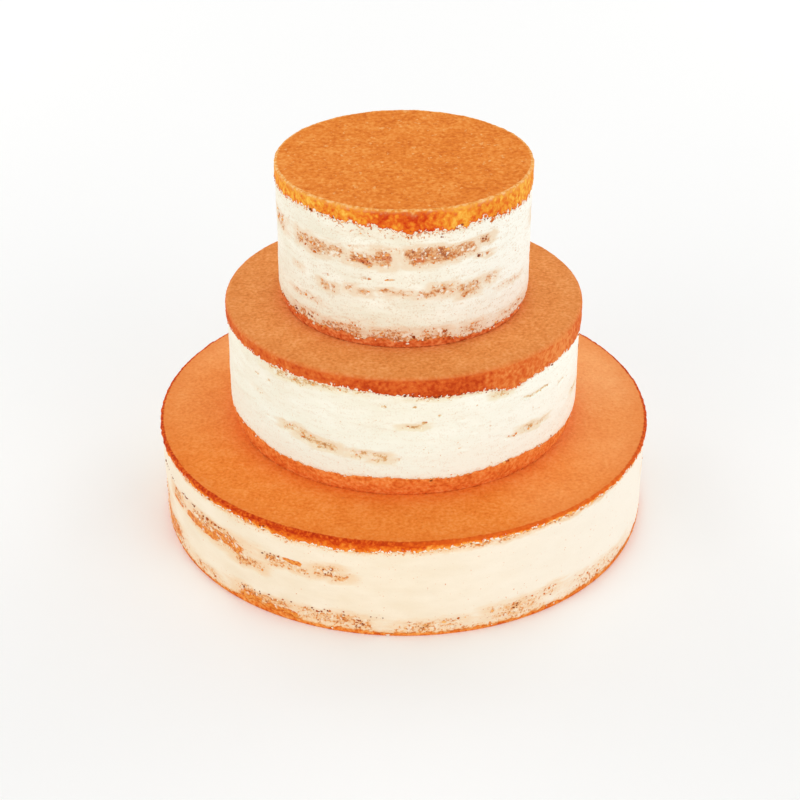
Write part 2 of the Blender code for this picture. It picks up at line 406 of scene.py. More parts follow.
# Patches of thin cream, of bare crumb and of burnt crumbs. Each is degrees from the front, half
# width in degrees, height and half height in millimetres, and strength.
BOTTOM.thin_patches = (
    (-47, 14, 36, 9, 0.9), (-37, 6, 30, 5, 0.92), (-48, 9, 41.5, 3, 0.85), (-30, 3.8, 38, 3, 0.95),
    (-26, 8, 35.5, 4, 0.75), (-17, 5, 38, 5.5, 0.80), (-13, 3, 34.5, 4, 0.75),
    (-64, 7, 37, 7, 0.75), (-50, 32, 56.8, 1.8, 0.8), (16, 14, 56, 3.2, 0.65),
    (48, 34, 57.6, 1.8, 0.75), (-72, 11, 12, 7, 0.8), (-33, 11, 8.5, 5.5, 0.85),
    (-17, 12, 8.5, 6, 0.75), (-9, 2.5, 7, 5, 0.9), (6, 12, 6.5, 6.5, 0.6), (5, 1.6, 5.5, 4, 1.0),
    (25, 9, 9.5, 8, 0.65), (25, 1.4, 11.5, 4, 0.9), (34, 5, 13, 5, 0.55), (52, 18, 8.5, 7.5, 0.5),
    (-52, 9, 7, 4.5, 0.6), (-66, 9, 8, 6, 0.55), (-30, 16, 53, 1.8, 0.35), (95, 20, 37, 4, 0.8),
    (140, 22, 35, 4.5, 0.7), (200, 24, 38, 4.5, 0.85), (245, 18, 34, 3.5, 0.7),
    (130, 40, 7, 6.5, 0.65), (215, 40, 7, 6.5, 0.75), (274, 18, 20, 11, 0.7),
    (168, 12, 44, 2.4, 0.6),
)
BOTTOM.bare_patches = (
    (-43, 8, 35.2, 4.2, 1.35), (-53, 8.5, 32.8, 3.4, 1.35), (-24.6, 2.8, 39.8, 2.2, 1.3),
    (-65, 5, 33, 1.6, 1.0), (-36.5, 5.2, 5.2, 4.6, 1.3), (-28, 5.5, 4.4, 3.4, 1.15),
    (-72, 10, 10, 5, 1.15), (-84, 11, 13, 5, 1.15), (-94, 9, 24, 3, 1.05), (68, 12, 3.6, 2.6, 1.0),
    (100, 8, 37, 2.4, 1.1), (206, 9, 38, 2.4, 1.0), (148, 6, 35, 1.6, 1.0), (225, 12, 5, 2.6, 1.0),
    (65, 10, 4.0, 1.6, 0.8),
)
BOTTOM.dark_patches = (
    (-59, 5.5, 43.5, 0.8, 1.0), (-48, 4.5, 41.4, 0.8, 0.8), (-72, 7, 44, 0.8, 0.6),
    (-17, 5, 38.5, 4, 0.07), (-30, 4, 40, 1.6, 0.2), (-24, 22, 12.5, 1.6, 0.14),
    (-39, 1.0, 11, 2, 0.7), (-9.6, 0.9, 8, 3, 0.6), (4, 1, 6, 2, 0.4), (25, 1, 11, 2.5, 0.4),
    (-35, 8, 57, 0.8, 0.12), (180, 60, 10, 4, 0.10),
)
MIDDLE.thin_patches = (
    (-36, 16, 63.3, 3.8, 0.80), (-53, 2.2, 54, 1.4, 0.9), (-47, 1.4, 54, 1.2, 0.9),
    (-6, 1.1, 55.5, 1.1, 1.3), (3, 1.1, 56, 1.1, 1.3), (11, 0.9, 50, 1.1, 1.1),
    (18, 1.1, 46, 1, 0.9), (6.6, 1.3, 46.5, 1.5, 1.2), (-48, 1.5, 32.5, 1, 1.0),
    (17.5, 1.1, 28.5, 0.9, 1.1), (-36, 1.7, 44.5, 1, 0.7), (3, 4.8, 44.6, 2.3, 1.15),
    (46, 9, 48, 1.3, 1.15), (60, 3.4, 44, 1.2, 1.0), (-38, 5.0, 32, 3.4, 0.80),
    (-31, 6.0, 29.5, 4.0, 1.0), (-25, 6.0, 28, 4.2, 1.1), (-14, 5.0, 25.5, 3.2, 0.72),
    (-7, 5.0, 24, 3.8, 0.85), (-1, 2.2, 23.5, 2, 0.65), (42, 5, 28.5, 3.2, 1.0),
    (48, 4.5, 28, 2.2, 0.65), (35, 3.2, 27, 1.4, 0.6), (31, 4.5, 56, 3, 0.75),
    (12, 16, 60.5, 1.8, 0.6), (-20, 14, 63, 2.2, 0.6), (-52, 5, 44, 2, 0.35), (100, 24, 45, 4, 0.8),
    (150, 26, 29, 4.5, 0.9), (190, 20, 48, 4, 0.7), (235, 24, 29, 4, 0.85), (215, 20, 62, 3, 0.6),
    (75, 8, 27, 2.5, 0.6),
)
MIDDLE.bare_patches = (
    (158, 7, 29, 1.6, 0.9), (106, 5, 45, 1.2, 0.9), (238, 6, 29, 1.4, 0.9),
)
MIDDLE.dark_patches = (
    (-1, 8, 63.6, 1.4, 0.45), (12, 9, 61.6, 1.2, 0.35), (27.5, 3.4, 60, 1.8, 0.5),
    (33, 6, 12.8, 1.2, 0.5), (11, 0.8, 50, 1, 0.5), (-6, 0.8, 55.5, 0.8, 0.4),
    (-40, 12, 66, 1.4, 0.10), (180, 40, 62.5, 1.5, 0.12),
)
TOP.thin_patches = (
    (-72, 12, 53, 6.5, 0.8), (-50, 9, 53, 5.5, 0.8), (-40, 8, 51, 5.4, 0.9), (-30, 5, 53, 4, 0.9),
    (-19.5, 7, 50, 5.2, 1.1), (-8.5, 5.5, 52, 8, 1.1), (6, 8.5, 52.5, 7.5, 1.2),
    (15, 10, 53.5, 6.5, 1.15), (27, 9, 54, 5.5, 1.0), (39, 6, 57, 2.8, 1.0), (38, 7, 49, 2.0, 0.75),
    (-16.5, 3.6, 39.3, 0.9, 1.2), (-6, 3.0, 40, 0.9, 1.1), (-35, 7, 31, 3.4, 0.85),
    (-24, 3, 32.5, 2.6, 0.85), (-18, 3.4, 31.5, 2.2, 0.8), (-9, 4, 33.5, 2.0, 0.8),
    (-2, 10, 32.5, 2.8, 0.7), (10, 7, 31.5, 3.8, 0.8), (18, 9, 33, 5.2, 0.8),
    (30, 8, 31.5, 5.6, 0.85), (40, 6, 33, 4.4, 0.65), (16, 5, 36.5, 1.9, 0.85),
    (-55, 5, 36, 2, 0.6), (-36, 3, 37, 1.4, 0.8), (-10, 30, 57.5, 1.8, 0.45),
    (-5, 36, 65, 3.0, 0.34), (-50, 14, 20, 2.2, 0.55), (-50, 14, 9.5, 4.4, 0.62),
    (-28, 16, 8, 5.4, 0.70), (-5, 16, 7.5, 6.0, 0.72), (15, 10, 7.5, 6.4, 0.72),
    (32, 8, 8.5, 5.0, 0.6), (-22, 14, 13, 2.4, 0.4), (60, 22, 8, 4, 0.5), (55, 12, 25, 2.6, 0.5),
    (95, 24, 52, 6, 0.85), (140, 26, 50, 6, 0.95), (120, 24, 31, 5, 0.65), (190, 28, 32, 5.5, 0.8),
    (215, 24, 52.5, 6, 0.95), (255, 24, 51, 5, 0.65), (180, 70, 6, 6, 0.7),
    (-41, 18, 51.6, 4.4, 0.78), (-15, 13, 51.2, 5.6, 0.92),
)
TOP.bare_patches = (
    (6, 4.5, 50.5, 2.0, 0.75), (-18.5, 5.5, 50, 3.6, 0.50), (-7.5, 4.6, 52, 4.8, 0.48),
    (146, 7, 50, 2, 0.8),
)
TOP.dark_patches = (
    (-7, 2.6, 68.4, 1.2, 1.0), (-58, 2.4, 8.4, 1.1, 1.0), (-45.5, 2.2, 8.2, 1.1, 1.0),
    (-18.5, 2.4, 49, 1.8, 0.7), (22, 2.0, 67, 1.4, 0.8), (26, 1.6, 68, 1.2, 0.8),
    (16, 1.1, 63.2, 0.9, 1.0), (35, 1.2, 48.8, 0.8, 0.9), (-3, 1.4, 8, 1.1, 0.9),
    (19, 1.4, 9.6, 1.1, 0.9), (53, 1.8, 66.8, 1.1, 0.9), (-37, 12, 70.9, 1.1, 0.22),
    (38, 1.8, 57, 1, 0.7), (4, 12, 67.2, 1.2, 0.25), (40, 12, 68, 1.3, 0.22), (0, 60, 7, 4, 0.05),
    (180, 70, 68.5, 2, 0.12),
)

# Tones, as shares of a scale and the colour at each: thick cream, the spots of crumb that break
# through it, and crumb laid quite bare.
BOTTOM.cream_tones = ((0.30, (242, 225, 197)), (0.70, (247, 233, 209)))
MIDDLE.cream_tones = ((0.30, (240, 235, 213)), (0.70, (247, 245, 228)))
TOP.cream_tones = ((0.30, (238, 231, 209)), (0.70, (248, 244, 227)))
BOTTOM.spot_tones = (
    (0.34, (150, 76, 26)), (0.45, (213, 121, 44)), (0.58, (232, 156, 84)), (0.70, (242, 194, 142)),
)
MIDDLE.spot_tones = (
    (0.34, (188, 136, 80)), (0.45, (214, 168, 110)), (0.58, (230, 196, 146)), (0.70, (241, 218, 180)),
)
TOP.spot_tones = (
    (0.34, (160, 84, 40)), (0.45, (204, 128, 70)), (0.58, (222, 160, 104)), (0.70, (236, 194, 148)),
)
BOTTOM.bare_tones = ((0.34, (208, 98, 14)), (0.50, (230, 130, 28)), (0.66, (242, 164, 70)))
MIDDLE.bare_tones = ((0.34, (196, 112, 56)), (0.50, (220, 146, 86)), (0.66, (236, 180, 122)))
TOP.bare_tones = ((0.34, (184, 86, 36)), (0.50, (208, 116, 60)), (0.66, (230, 156, 102)))

# Cream that the sponge tints a little and a lot, and the stain along the coat's torn edges.
BOTTOM.film_tone, MIDDLE.film_tone, TOP.film_tone = (240, 206, 164), (238, 226, 194), (235, 212, 180)
BOTTOM.deep_tone, MIDDLE.deep_tone, TOP.deep_tone = (236, 176, 110), (232, 208, 164), (223, 171, 120)
BOTTOM.stain_tone, MIDDLE.stain_tone, TOP.stain_tone = (243, 184, 106), (236, 202, 154), (238, 196, 140)
BOTTOM.stain, MIDDLE.stain, TOP.stain = 0.80, 0.30, 0.15
BOTTOM.torn_reach, MIDDLE.torn_reach, TOP.torn_reach = 2.0 * MM, 1.3 * MM, 2.2 * MM

# The cream is painted paler on the right, a painted highlight where the lamp light falls; on the two
# upper tiers it is painted cooler towards the foot, to cancel the shade and the orange light thrown
# up from the face below.
BOTTOM.pale_cream, MIDDLE.pale_cream, TOP.pale_cream = (250, 242, 228), (252, 255, 243), (250, 250, 240)
BOTTOM.pale_share, MIDDLE.pale_share, TOP.pale_share = 0.8, 0.9, 0.8
# Painted light: cooler cream near the foot, against the shade and the orange bounce from the face below.
MIDDLE.low_cream, TOP.low_cream = (244, 255, 241), (238, 243, 220)
MIDDLE.low_share, TOP.low_share = 1.0, 0.8
MIDDLE.low_reach, TOP.low_reach = 64 * MM, 32 * MM

# How much of the face is pitted, and so how much painted shade its pits take, and how far each kind
# of relief stands out, in millimetres.
BOTTOM.pitted, MIDDLE.pitted, TOP.pitted = 0.06, 0.32, 0.65
# Painted shade in the pits of the cream.
PIT_TONE = (222, 200, 168)
SWELL_DEPTH, SWEEP_DEPTH, STREAK_DEPTH = 0.30, 0.14, 0.08
CRUMB_DEPTH, TORN_DEPTH, PIT_DEPTH = 0.28, 0.40, 0.24
THIN_BACK, BARE_BACK, TORN_BACK = 0.45, 0.35, 0.15


def mark_points(piece, name, values):
    """Keeps a value for each point, for the finish to read."""
    layer = piece.data.attributes.new(name, "FLOAT", "POINT")
    layer.data.foreach_set("value", np.asarray(values, np.float32))


def hump(distance, half_width, flat=1.0):
    """1 at the middle and 0 from half_width outwards. Flat above 1 widens the level part."""
    share = np.clip(flat * (1.0 - np.abs(distance) / half_width), 0.0, 1.0)
    return share * share * (3.0 - 2.0 * share)


def turn_from(angle, degrees):
    """Degrees from a direction in degrees to angles in radians."""
    return (np.degrees(angle) - degrees + 180.0) % 360.0 - 180.0


def coat_top_edge(tier, angle):
    """Height of the coat's upper edge."""
    return line_round(angle, tier.top_line) + tier.ragged * edge_wander(tier, angle, 3)


def side_points(tier, angle, height):
    """The places of these angles and heights on a plain round side, to read unevenness at."""
    return place_round(angle, tier.radius, height + tier.base)


PATCH_FLAT = 1.5            # patches are level over their middle third
SMALL_WIDTH = 2.5           # half a patch that has no haze round it, in degrees
SMALL_HEIGHT = 1.5          # and in millimetres


def patchiness(side, angle, height, tier, patches):
    """The strength of the patches at each point, with their outlines pulled about, small ones less."""
    along = 3.0 * MM * lumps(side, 10 * MM, 41) + 1.0 * MM * lumps(side, 3.2 * MM, 42)
    up = 1.5 * MM * lumps(side, 9 * MM, 43) + 0.6 * MM * lumps(side, 3 * MM, 44)
    strength = np.zeros(len(angle))
    for degrees, half_width, middle, half_height, most in patches:
        pull = min(1.0, 0.35 * half_height)
        across = hump(turn_from(angle + pull * along / tier.radius, degrees), half_width, PATCH_FLAT)
        upward = hump(height + pull * up - middle * MM, half_height * MM, PATCH_FLAT)
        strength = np.maximum(strength, most * across * upward)
    return strength


def hazy(patches):
    """The larger patches widened, for the tinted cream round them."""
    return [
        (degrees, 1.3 * half_width + 2.0, middle, 1.25 * half_height + 1.0, 0.95 * most)
        for degrees, half_width, middle, half_height, most in patches
        if half_width > SMALL_WIDTH and half_height > SMALL_HEIGHT
    ]


def coat_fields(tier, angle, height):
    """How thin, bare and torn the cream is at each point, and how far its face stands out."""
    side = side_points(tier, angle, height)
    flat_side = side * (1.0, 1.0, 5.0)
    swell = lumps(side * (1.0, 1.0, 2.0), 35 * MM, 20)
    sweep = lumps(flat_side, 24 * MM, 21)
    streak = lumps(flat_side, 7 * MM, 22)
    thin = patchiness(side, angle, height, tier, tier.thin_patches) * (1.0 + 0.35 * streak)
    bare = patchiness(side, angle, height, tier, tier.bare_patches)
    near_edge = np.minimum(height - coat_low_edge(tier, angle), coat_top_edge(tier, angle) - height)
    torn = np.exp(-np.maximum(near_edge, 0.0) / tier.torn_reach)
    thinned = np.clip(thin, 0.0, 1.0)
    relief = SWELL_DEPTH * swell + SWEEP_DEPTH * sweep + STREAK_DEPTH * streak
    relief += thinned * (CRUMB_DEPTH * lumps(side, 1.8 * MM, 24) - THIN_BACK) - BARE_BACK * bare
    relief += torn * (TORN_DEPTH * lumps(side, 2.1 * MM, 25) - TORN_BACK)
    relief += tier.pitted * PIT_DEPTH * lumps(side, 2.4 * MM, 26)
    return thin, bare, torn, relief * MM


def between(tree, share, low, high):
    """The share of the way between two values, held from 0 to 1."""
    sockets = {"Value": share, "From Min": low, "From Max": high}
    return add_node(tree, "MapRange", sockets, clamp=True, interpolation_type="SMOOTHSTEP").outputs[0]


def mix(tree, share, first, second):
    """The second colour over the first one, by a share from 0 to 1."""
    node = add_node(tree, "Mix", {"Factor": share}, data_type="RGBA")
    for index, colour in ((6, first), (7, second)):
        if isinstance(colour, bpy.types.NodeSocket):
            tree.links.new(colour, node.inputs[index])
        else:
            node.inputs[index].default_value = linear(*colour)
    return node.outputs[2]


def part_of(tree, share, most):
    """A share times a fixed value or another share."""
    return add_node(tree, "Math", {0: share, 1: most}, operation="MULTIPLY").outputs[0]


def kept(tree, name):
    """A value that the mesh keeps for each point."""
    return add_node(tree, "Attribute", attribute_name=name).outputs["Fac"]


COAT_BACK_ROW = 6 * MM

for tier in TIERS:
    outer = tier.coat_face
    inner = outer - COAT_THICKNESS
    low = line_round(np.zeros(1), tier.low_line)[0]
    high = line_round(np.zeros(1), tier.top_line)[0]
    outline = run((outer, low), (outer, high), tier.row) + run((outer, high), (inner, high), tier.row)
    outline += run((inner, high), (inner, low), COAT_BACK_ROW)
    outline += run((inner, low), (outer, low), tier.row)
    coat = turn_outline(tier.coat_node + "_scraped", outline + outline[:1], tier.steps)
    points = read_points(coat)
    angle, radius = round_side(points)
    share = (points[:, 2] - low) / (high - low)
    height = coat_low_edge(tier, angle) * (1.0 - share) + coat_top_edge(tier, angle) * share
    depth_share = np.clip((radius - inner) / (outer - inner), 0.0, 1.0)
    thin, bare, torn, relief = coat_fields(tier, angle, height)
    radius = inner + depth_share * (outer + relief - inner) - drawn_in(tier, height)
    write_points(coat, place_round(angle, radius, height + tier.base))
    side = side_points(tier, angle, height)
    mark_points(coat, "thin", thin)
    mark_points(coat, "haze", patchiness(side, angle, height, tier, hazy(tier.thin_patches)))
    mark_points(coat, "bare", bare)
    mark_points(coat, "torn", torn)
    # Painted highlight: the share of paler cream grows towards the right, where the lamp light falls.
    mark_points(coat, "pale", np.clip(1.2 * np.sin(angle), 0.0, 1.0))
    if tier is not BOTTOM:
        # Painted light: the share of cooler cream near the foot, which cancels the shade and the bounce
        # there.
        mark_points(coat, "low", hump(height, tier.low_reach))

    scraped_cream, tree, shader, place = start_finish(
        tier.name + " scraped cream", CREAM_ROUGHNESS, CREAM_GLOSS
    )
    thin, haze, bare, torn = (kept(tree, name) for name in ("thin", "haze", "bare", "torn"))
    clouds = speckle(tree, place, 20 * MM, 2.0, 2.5)
    streaks = speckle(tree, place, 6 * MM, 3.0, 4.0)
    grit = speckle(tree, place, 1.7 * MM, 4.0, 1.2)
    fine_grit = speckle(tree, place, 0.9 * MM, 3.0)
    blotches = speckle(tree, place, 3.0 * MM, 2.0)
    cream = colour_scale(tree, clouds, *tier.cream_tones)
    if tier is not BOTTOM:
        # Painted light near the foot, against the shade and the orange bounce from the face below.
        cream = mix(tree, part_of(tree, kept(tree, "low"), tier.low_share), cream, tier.low_cream)
    # Painted highlight: paler cream towards the right side.
    cream = mix(tree, part_of(tree, kept(tree, "pale"), tier.pale_share), cream, tier.pale_cream)
    # Painted shade: darker specks where the cream is pitted.
    pits = between(tree, sum_of(tree, (fine_grit, 0.6), (streaks, 0.4)), 0.50, 0.66)
    cream = mix(tree, part_of(tree, pits, tier.pitted), cream, PIT_TONE)
    film = between(tree, sum_of(tree, (haze, 1.0), (streaks, 0.6)), 0.40, 1.10)
    cream = mix(tree, part_of(tree, film, 0.85), cream, tier.film_tone)
    deep = between(tree, sum_of(tree, (thin, 1.0), (streaks, 0.8), (grit, 0.8)), 1.15, 1.85)
    cream = mix(tree, part_of(tree, deep, 0.85), cream, tier.deep_tone)
    stained = between(tree, sum_of(tree, (torn, 1.0), (fine_grit, 0.8)), 0.55, 1.25)
    cream = mix(tree, part_of(tree, stained, tier.stain), cream, tier.stain_tone)
    torn_share = 0.12 + 0.08 * tier.pitted
    spots = sum_of(tree, (grit, 0.6), (fine_grit, 0.4), (thin, 0.16), (torn, torn_share))
    spots = between(tree, spots, 0.62, 0.71)
    spot_tone = sum_of(tree, (blotches, 0.5), (fine_grit, 0.5), (thin, -0.06))
    cream = mix(tree, spots, cream, colour_scale(tree, spot_tone, *tier.spot_tones))
    exposed = between(tree, sum_of(tree, (bare, 1.0), (streaks, 0.7), (fine_grit, 0.4)), 0.90, 1.15)
    cream = mix(tree, exposed, cream, colour_scale(tree, grit, *tier.bare_tones))
    flecks = between(tree, speckle(tree, place, 2.8 * MM, 3.0), 0.57, 0.63)
    flecks = part_of(tree, flecks, between(tree, thin, 0.2, 0.7))
    cream = mix(tree, part_of(tree, flecks, 0.7), cream, tier.cream_tones[1][1])
    paint(tree, shader, cream)
    roughen(tree, shader, sum_of(tree, (streaks, 0.35), (grit, 0.4), (flecks, 0.25)), 0.3 * MM)
    coat.data.materials.append(scraped_cream)
    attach(coat, "root")
    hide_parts(tier.coat_node)


# Crowns: the uppermost sponge of each tier, with a level, close-grained baked face, and an edge
# left bare above the cream. Each is turned from its outline, its side is torn into crumbs and its
# rim raised in knobs. The bottom one keeps a dark, lumpy rim from the tin.

# The rim's knobs and rounding, how deep the side is torn, and how far the next tier hides the face.
BOTTOM.knobs, MIDDLE.knobs, TOP.knobs = 0.75 * MM, 0.30 * MM, 0.40 * MM
BOTTOM.rounding, MIDDLE.rounding, TOP.rounding = 1.2 * MM, 2.4 * MM, 0.9 * MM
BOTTOM.torn_side, MIDDLE.torn_side, TOP.torn_side = 0.55 * MM, 0.30 * MM, 0.35 * MM
BOTTOM.hidden_face, MIDDLE.hidden_face, TOP.hidden_face = 90 * MM, 60 * MM, 0.0

# The rim: browned crust on the two lower tiers, and on the top tier a painted highlight along its
# rounded edge. Its width on the face, how far it goes on down the side, and its strength.
BOTTOM.rim_width, MIDDLE.rim_width, TOP.rim_width = 2.8 * MM, 2.5 * MM, 2.4 * MM
BOTTOM.rim_down, MIDDLE.rim_down, TOP.rim_down = 0.6, 0.0, 0.35
BOTTOM.rim_strength, MIDDLE.rim_strength, TOP.rim_strength = 0.95, 0.3, 0.8

# The face: how much of its grain is coarse, its dark and pale specks, and how it browns outwards.
BOTTOM.coarse, MIDDLE.coarse, TOP.coarse = 0.20, 0.15, 0.45
BOTTOM.dark_specks, MIDDLE.dark_specks, TOP.dark_specks = 0.35, 0.45, 0.60
BOTTOM.pale_specks, MIDDLE.pale_specks, TOP.pale_specks = 0.10, 0.20, 0.55
BOTTOM.edge_browning, MIDDLE.edge_browning, TOP.edge_browning = 0.35, 0.25, 0.05

# Tones of the face and the rim from dark to pale, and of the side from pale to toasted.
BOTTOM.face_tones = ((0.34, (226, 115, 36)), (0.50, (241, 138, 55)), (0.66, (249, 158, 82)))
MIDDLE.face_tones = ((0.34, (213, 121, 53)), (0.50, (235, 148, 77)), (0.66, (249, 172, 106)))
TOP.face_tones = ((0.34, (210, 104, 24)), (0.50, (235, 134, 47)), (0.66, (250, 166, 81)))
BOTTOM.rim_tones = ((0.36, (178, 42, 4)), (0.50, (204, 66, 8)), (0.64, (231, 106, 28)))
MIDDLE.rim_tones = ((0.36, (206, 100, 40)), (0.50, (222, 124, 62)), (0.64, (238, 152, 92)))
# The top tier's rim is paler than its face: a painted highlight along its rounded edge.
TOP.rim_tones = ((0.36, (234, 146, 60)), (0.50, (246, 182, 100)), (0.64, (254, 212, 148)))
BOTTOM.side_tones = (
    (0.30, (248, 176, 88)), (0.42, (240, 134, 40)), (0.56, (226, 96, 16)), (0.70, (192, 52, 6)),
)
MIDDLE.side_tones = (
    (0.30, (236, 146, 76)), (0.46, (221, 110, 45)), (0.58, (209, 88, 31)), (0.70, (186, 62, 16)),
)
TOP.side_tones = (
    (0.30, (248, 192, 80)), (0.43, (239, 154, 48)), (0.56, (227, 106, 28)), (0.70, (202, 58, 12)),
)
PALE_FACE_TONES = ((0.34, (244, 158, 94)), (0.66, (254, 182, 118)))
# The bottom rim's painted highlight right of the front.
PALE_RIM_TONE = (228, 102, 26)
PALE_SPECK = (251, 194, 122)
CREAM_FLECK = (247, 238, 218)

CROWN_LIP = 2 * MM          # how far the bare side reaches down behind the coat's upper edge
KNOB_SIZE, SMALL_KNOB_SIZE = 4.5 * MM, 2.1 * MM
NEAR_RIM = 14 * MM          # how far in the face is browned
SMEAR_REACH = 1.0 * MM      # how far above the coat the bare side is smeared with cream

for tier in TIERS:
    layer_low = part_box(tier.crown_node)[0][2] - tier.base
    high = tier.height
    edge = tier.radius
    covered = covered_radius(tier, layer_low)
    lip = line_round(np.zeros(1), tier.top_line)[0]
    turn = tier.rounding
    outline = [(0.0, layer_low), (covered, layer_low), (covered, lip - CROWN_LIP)]
    outline += run((covered, lip - CROWN_LIP), (edge, lip), tier.row)
    outline += run((edge, lip), (edge, high - turn), tier.row)
    arc_rows = max(3, round(turn * math.pi / 2 / (0.6 * tier.row)))
    for index in range(arc_rows):
        bend = math.pi / 2 * index / arc_rows
        outline.append((edge - turn + turn * math.cos(bend), high - turn + turn * math.sin(bend)))
    outline += run((edge - turn, high), (tier.hidden_face, high), tier.row) + [(tier.hidden_face, high)]
    outline += [(0.0, high)] if tier.hidden_face else []
    crown = turn_outline(tier.crown_node + "_baked", outline, tier.steps)

    points = read_points(crown)
    angle, radius = round_side(points)
    height = points[:, 2]
    coat_edge = coat_top_edge(tier, angle)
    on_face = hump(high - height, turn)
    on_side = np.clip((radius - edge + 2.5 * MM) / (1.5 * MM), 0.0, 1.0) * (1.0 - on_face)
    up_side = np.clip((height - lip) / (high - turn - lip), 0.0, 1.0)
    lift = (1.0 - up_side) * (radius > covered + NEAR) * (coat_edge - lip)
    around = place_round(angle, edge, 0.0)
    bumps = np.abs(lumps(around, KNOB_SIZE, 35)) + 0.5 * np.abs(lumps(around, SMALL_KNOB_SIZE, 36))
    near_rim = hump(edge - radius, tier.rim_width)
    side_relief = crumble(points, tier.torn_side, 31)
    face_relief = 0.09 * MM * lumps(points, 1.7 * MM, 33) + 0.22 * MM * lumps(points, 20 * MM, 34)
    side_relief += 0.67 * tier.knobs * (bumps - 0.5) * (0.3 + 0.7 * up_side)
    face_relief += tier.knobs * near_rim * (bumps - 0.2)
    height = height + lift
    new_radius = radius + on_side * side_relief
    new_height = height + on_face * face_relief + tier.base
    write_points(crown, place_round(angle, new_radius, new_height))

    above_coat = np.maximum(height - coat_edge, 0.0)
    smear = np.exp(-above_coat / SMEAR_REACH)
    toast = 0.5 + 0.25 * lumps(around, 14 * MM, 37)
    if tier is BOTTOM:
        # Its side is toasted towards the rim. Right of the front its rim and side are painted paler,
        # a painted highlight where the lamp light falls; its face is paler behind.
        pale_rim = hump(turn_from(angle, 36), 50, 1.4)
        toast += 1.3 * up_side - 0.5 - 0.45 * pale_rim
        near_rim *= 1.0 - 0.35 * pale_rim
        pale_face = 0.5 - 0.7 * np.cos(angle) + 0.25 * np.sin(angle) + 0.25 * lumps(points, 45 * MM, 39)
        mark_points(crown, "pale rim", pale_rim)
        mark_points(crown, "pale face", np.clip(pale_face, 0.0, 1.0))
    if tier is MIDDLE:
        # Its side is paler on the right, and scorched along the coat at the front.
        toast += 0.1 * hump(turn_from(angle, -60), 40) - 0.4 * hump(turn_from(angle, 55), 35)
        scorch = np.exp(-above_coat / (2.0 * MM))
        toast += (0.25 + 0.6 * scorch) * hump(turn_from(angle, 6), 32, 1.3)
    if tier is TOP:
        # Its side is golden, with a toasted stretch at the front and a toasted line along the coat.
        front = hump(turn_from(angle, 0), 24, 1.3)
        toast = 0.20 + 1.05 * front * (0.35 + 0.65 * up_side) + 0.32 * hump(turn_from(angle, 42), 24)
        toast += 0.25 * hump(turn_from(angle, 170), 40) + 0.2 * lumps(around, 6 * MM, 38)
        toast += 0.8 * smear
    mark_points(crown, "face", on_face)
    mark_points(crown, "rim", near_rim * np.maximum(on_face, tier.rim_down * up_side ** 3))
    mark_points(crown, "near rim", hump(edge - radius, NEAR_RIM))
    mark_points(crown, "toast", toast)
    mark_points(crown, "smear", smear * (1.0 - on_face))

    baked, tree, shader, place = start_finish(tier.name + " baked sponge", 0.8, SPONGE_GLOSS)
    patchy = speckle(tree, place, 11 * MM, 2.0)
    grain = speckle(tree, place, 1.9 * MM, 4.0)
    crumbs = speckle(tree, place, 3.2 * MM, 3.0)
    face_place = add_node(tree, "Mapping", {"Vector": place, "Scale": (1.0, 0.75, 1.0)}).outputs[0]
    face_grain = speckle(tree, face_place, 2.3 * MM, 3.0)
    tone = sum_of(tree, (patchy, 0.25), (face_grain, tier.coarse), (grain, 0.75 - tier.coarse))
    face_colour = colour_scale(tree, tone, *tier.face_tones)
    darkest = tier.face_tones[0][1]
    marks = between(tree, speckle(tree, face_place, 3.4 * MM, 3.0), 0.62, 0.69)
    face_colour = mix(tree, part_of(tree, marks, tier.dark_specks), face_colour, darkest)
    specks = between(tree, speckle(tree, face_place, 2.7 * MM, 3.0), 0.64, 0.71)
    face_colour = mix(tree, part_of(tree, specks, tier.pale_specks), face_colour, PALE_SPECK)
    if tier is BOTTOM:
        pale_colour = colour_scale(tree, tone, *PALE_FACE_TONES)
        face_colour = mix(tree, part_of(tree, kept(tree, "pale face"), 0.9), face_colour, pale_colour)
    browned = part_of(tree, kept(tree, "near rim"), tier.edge_browning)
    face_colour = mix(tree, browned, face_colour, darkest)
    side_tone = sum_of(tree, (crumbs, 0.5), (grain, 0.5), (kept(tree, "toast"), 0.22))
    side_tone = add_node(tree, "Math", {0: side_tone, 1: 0.11}, operation="SUBTRACT").outputs[0]
    side_colour = colour_scale(tree, side_tone, *tier.side_tones)
    colour = mix(tree, kept(tree, "face"), side_colour, face_colour)
    # The rim: browned crust, and on the top tier a painted highlight.
    rim = between(tree, sum_of(tree, (kept(tree, "rim"), 1.0), (crumbs, 0.6)), 0.45, 0.85)
    rim_colour = colour_scale(tree, grain, *tier.rim_tones)
    if tier is BOTTOM:
        # Painted highlight on the rim right of the front.
        rim_colour = mix(tree, part_of(tree, kept(tree, "pale rim"), 0.7), rim_colour, PALE_RIM_TONE)
    colour = mix(tree, part_of(tree, rim, tier.rim_strength), colour, rim_colour)
    smeared = between(tree, sum_of(tree, (kept(tree, "smear"), 0.22), (grain, 1.0)), 0.66, 0.70)
    smeared = part_of(tree, smeared, between(tree, kept(tree, "smear"), 0.05, 0.35))
    colour = mix(tree, smeared, colour, CREAM_FLECK)
    paint(tree, shader, colour)
    roughen(tree, shader, grain, 0.4 * MM)
    crown.data.materials.append(baked)
    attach(crown, "root")
    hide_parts(tier.crown_node)


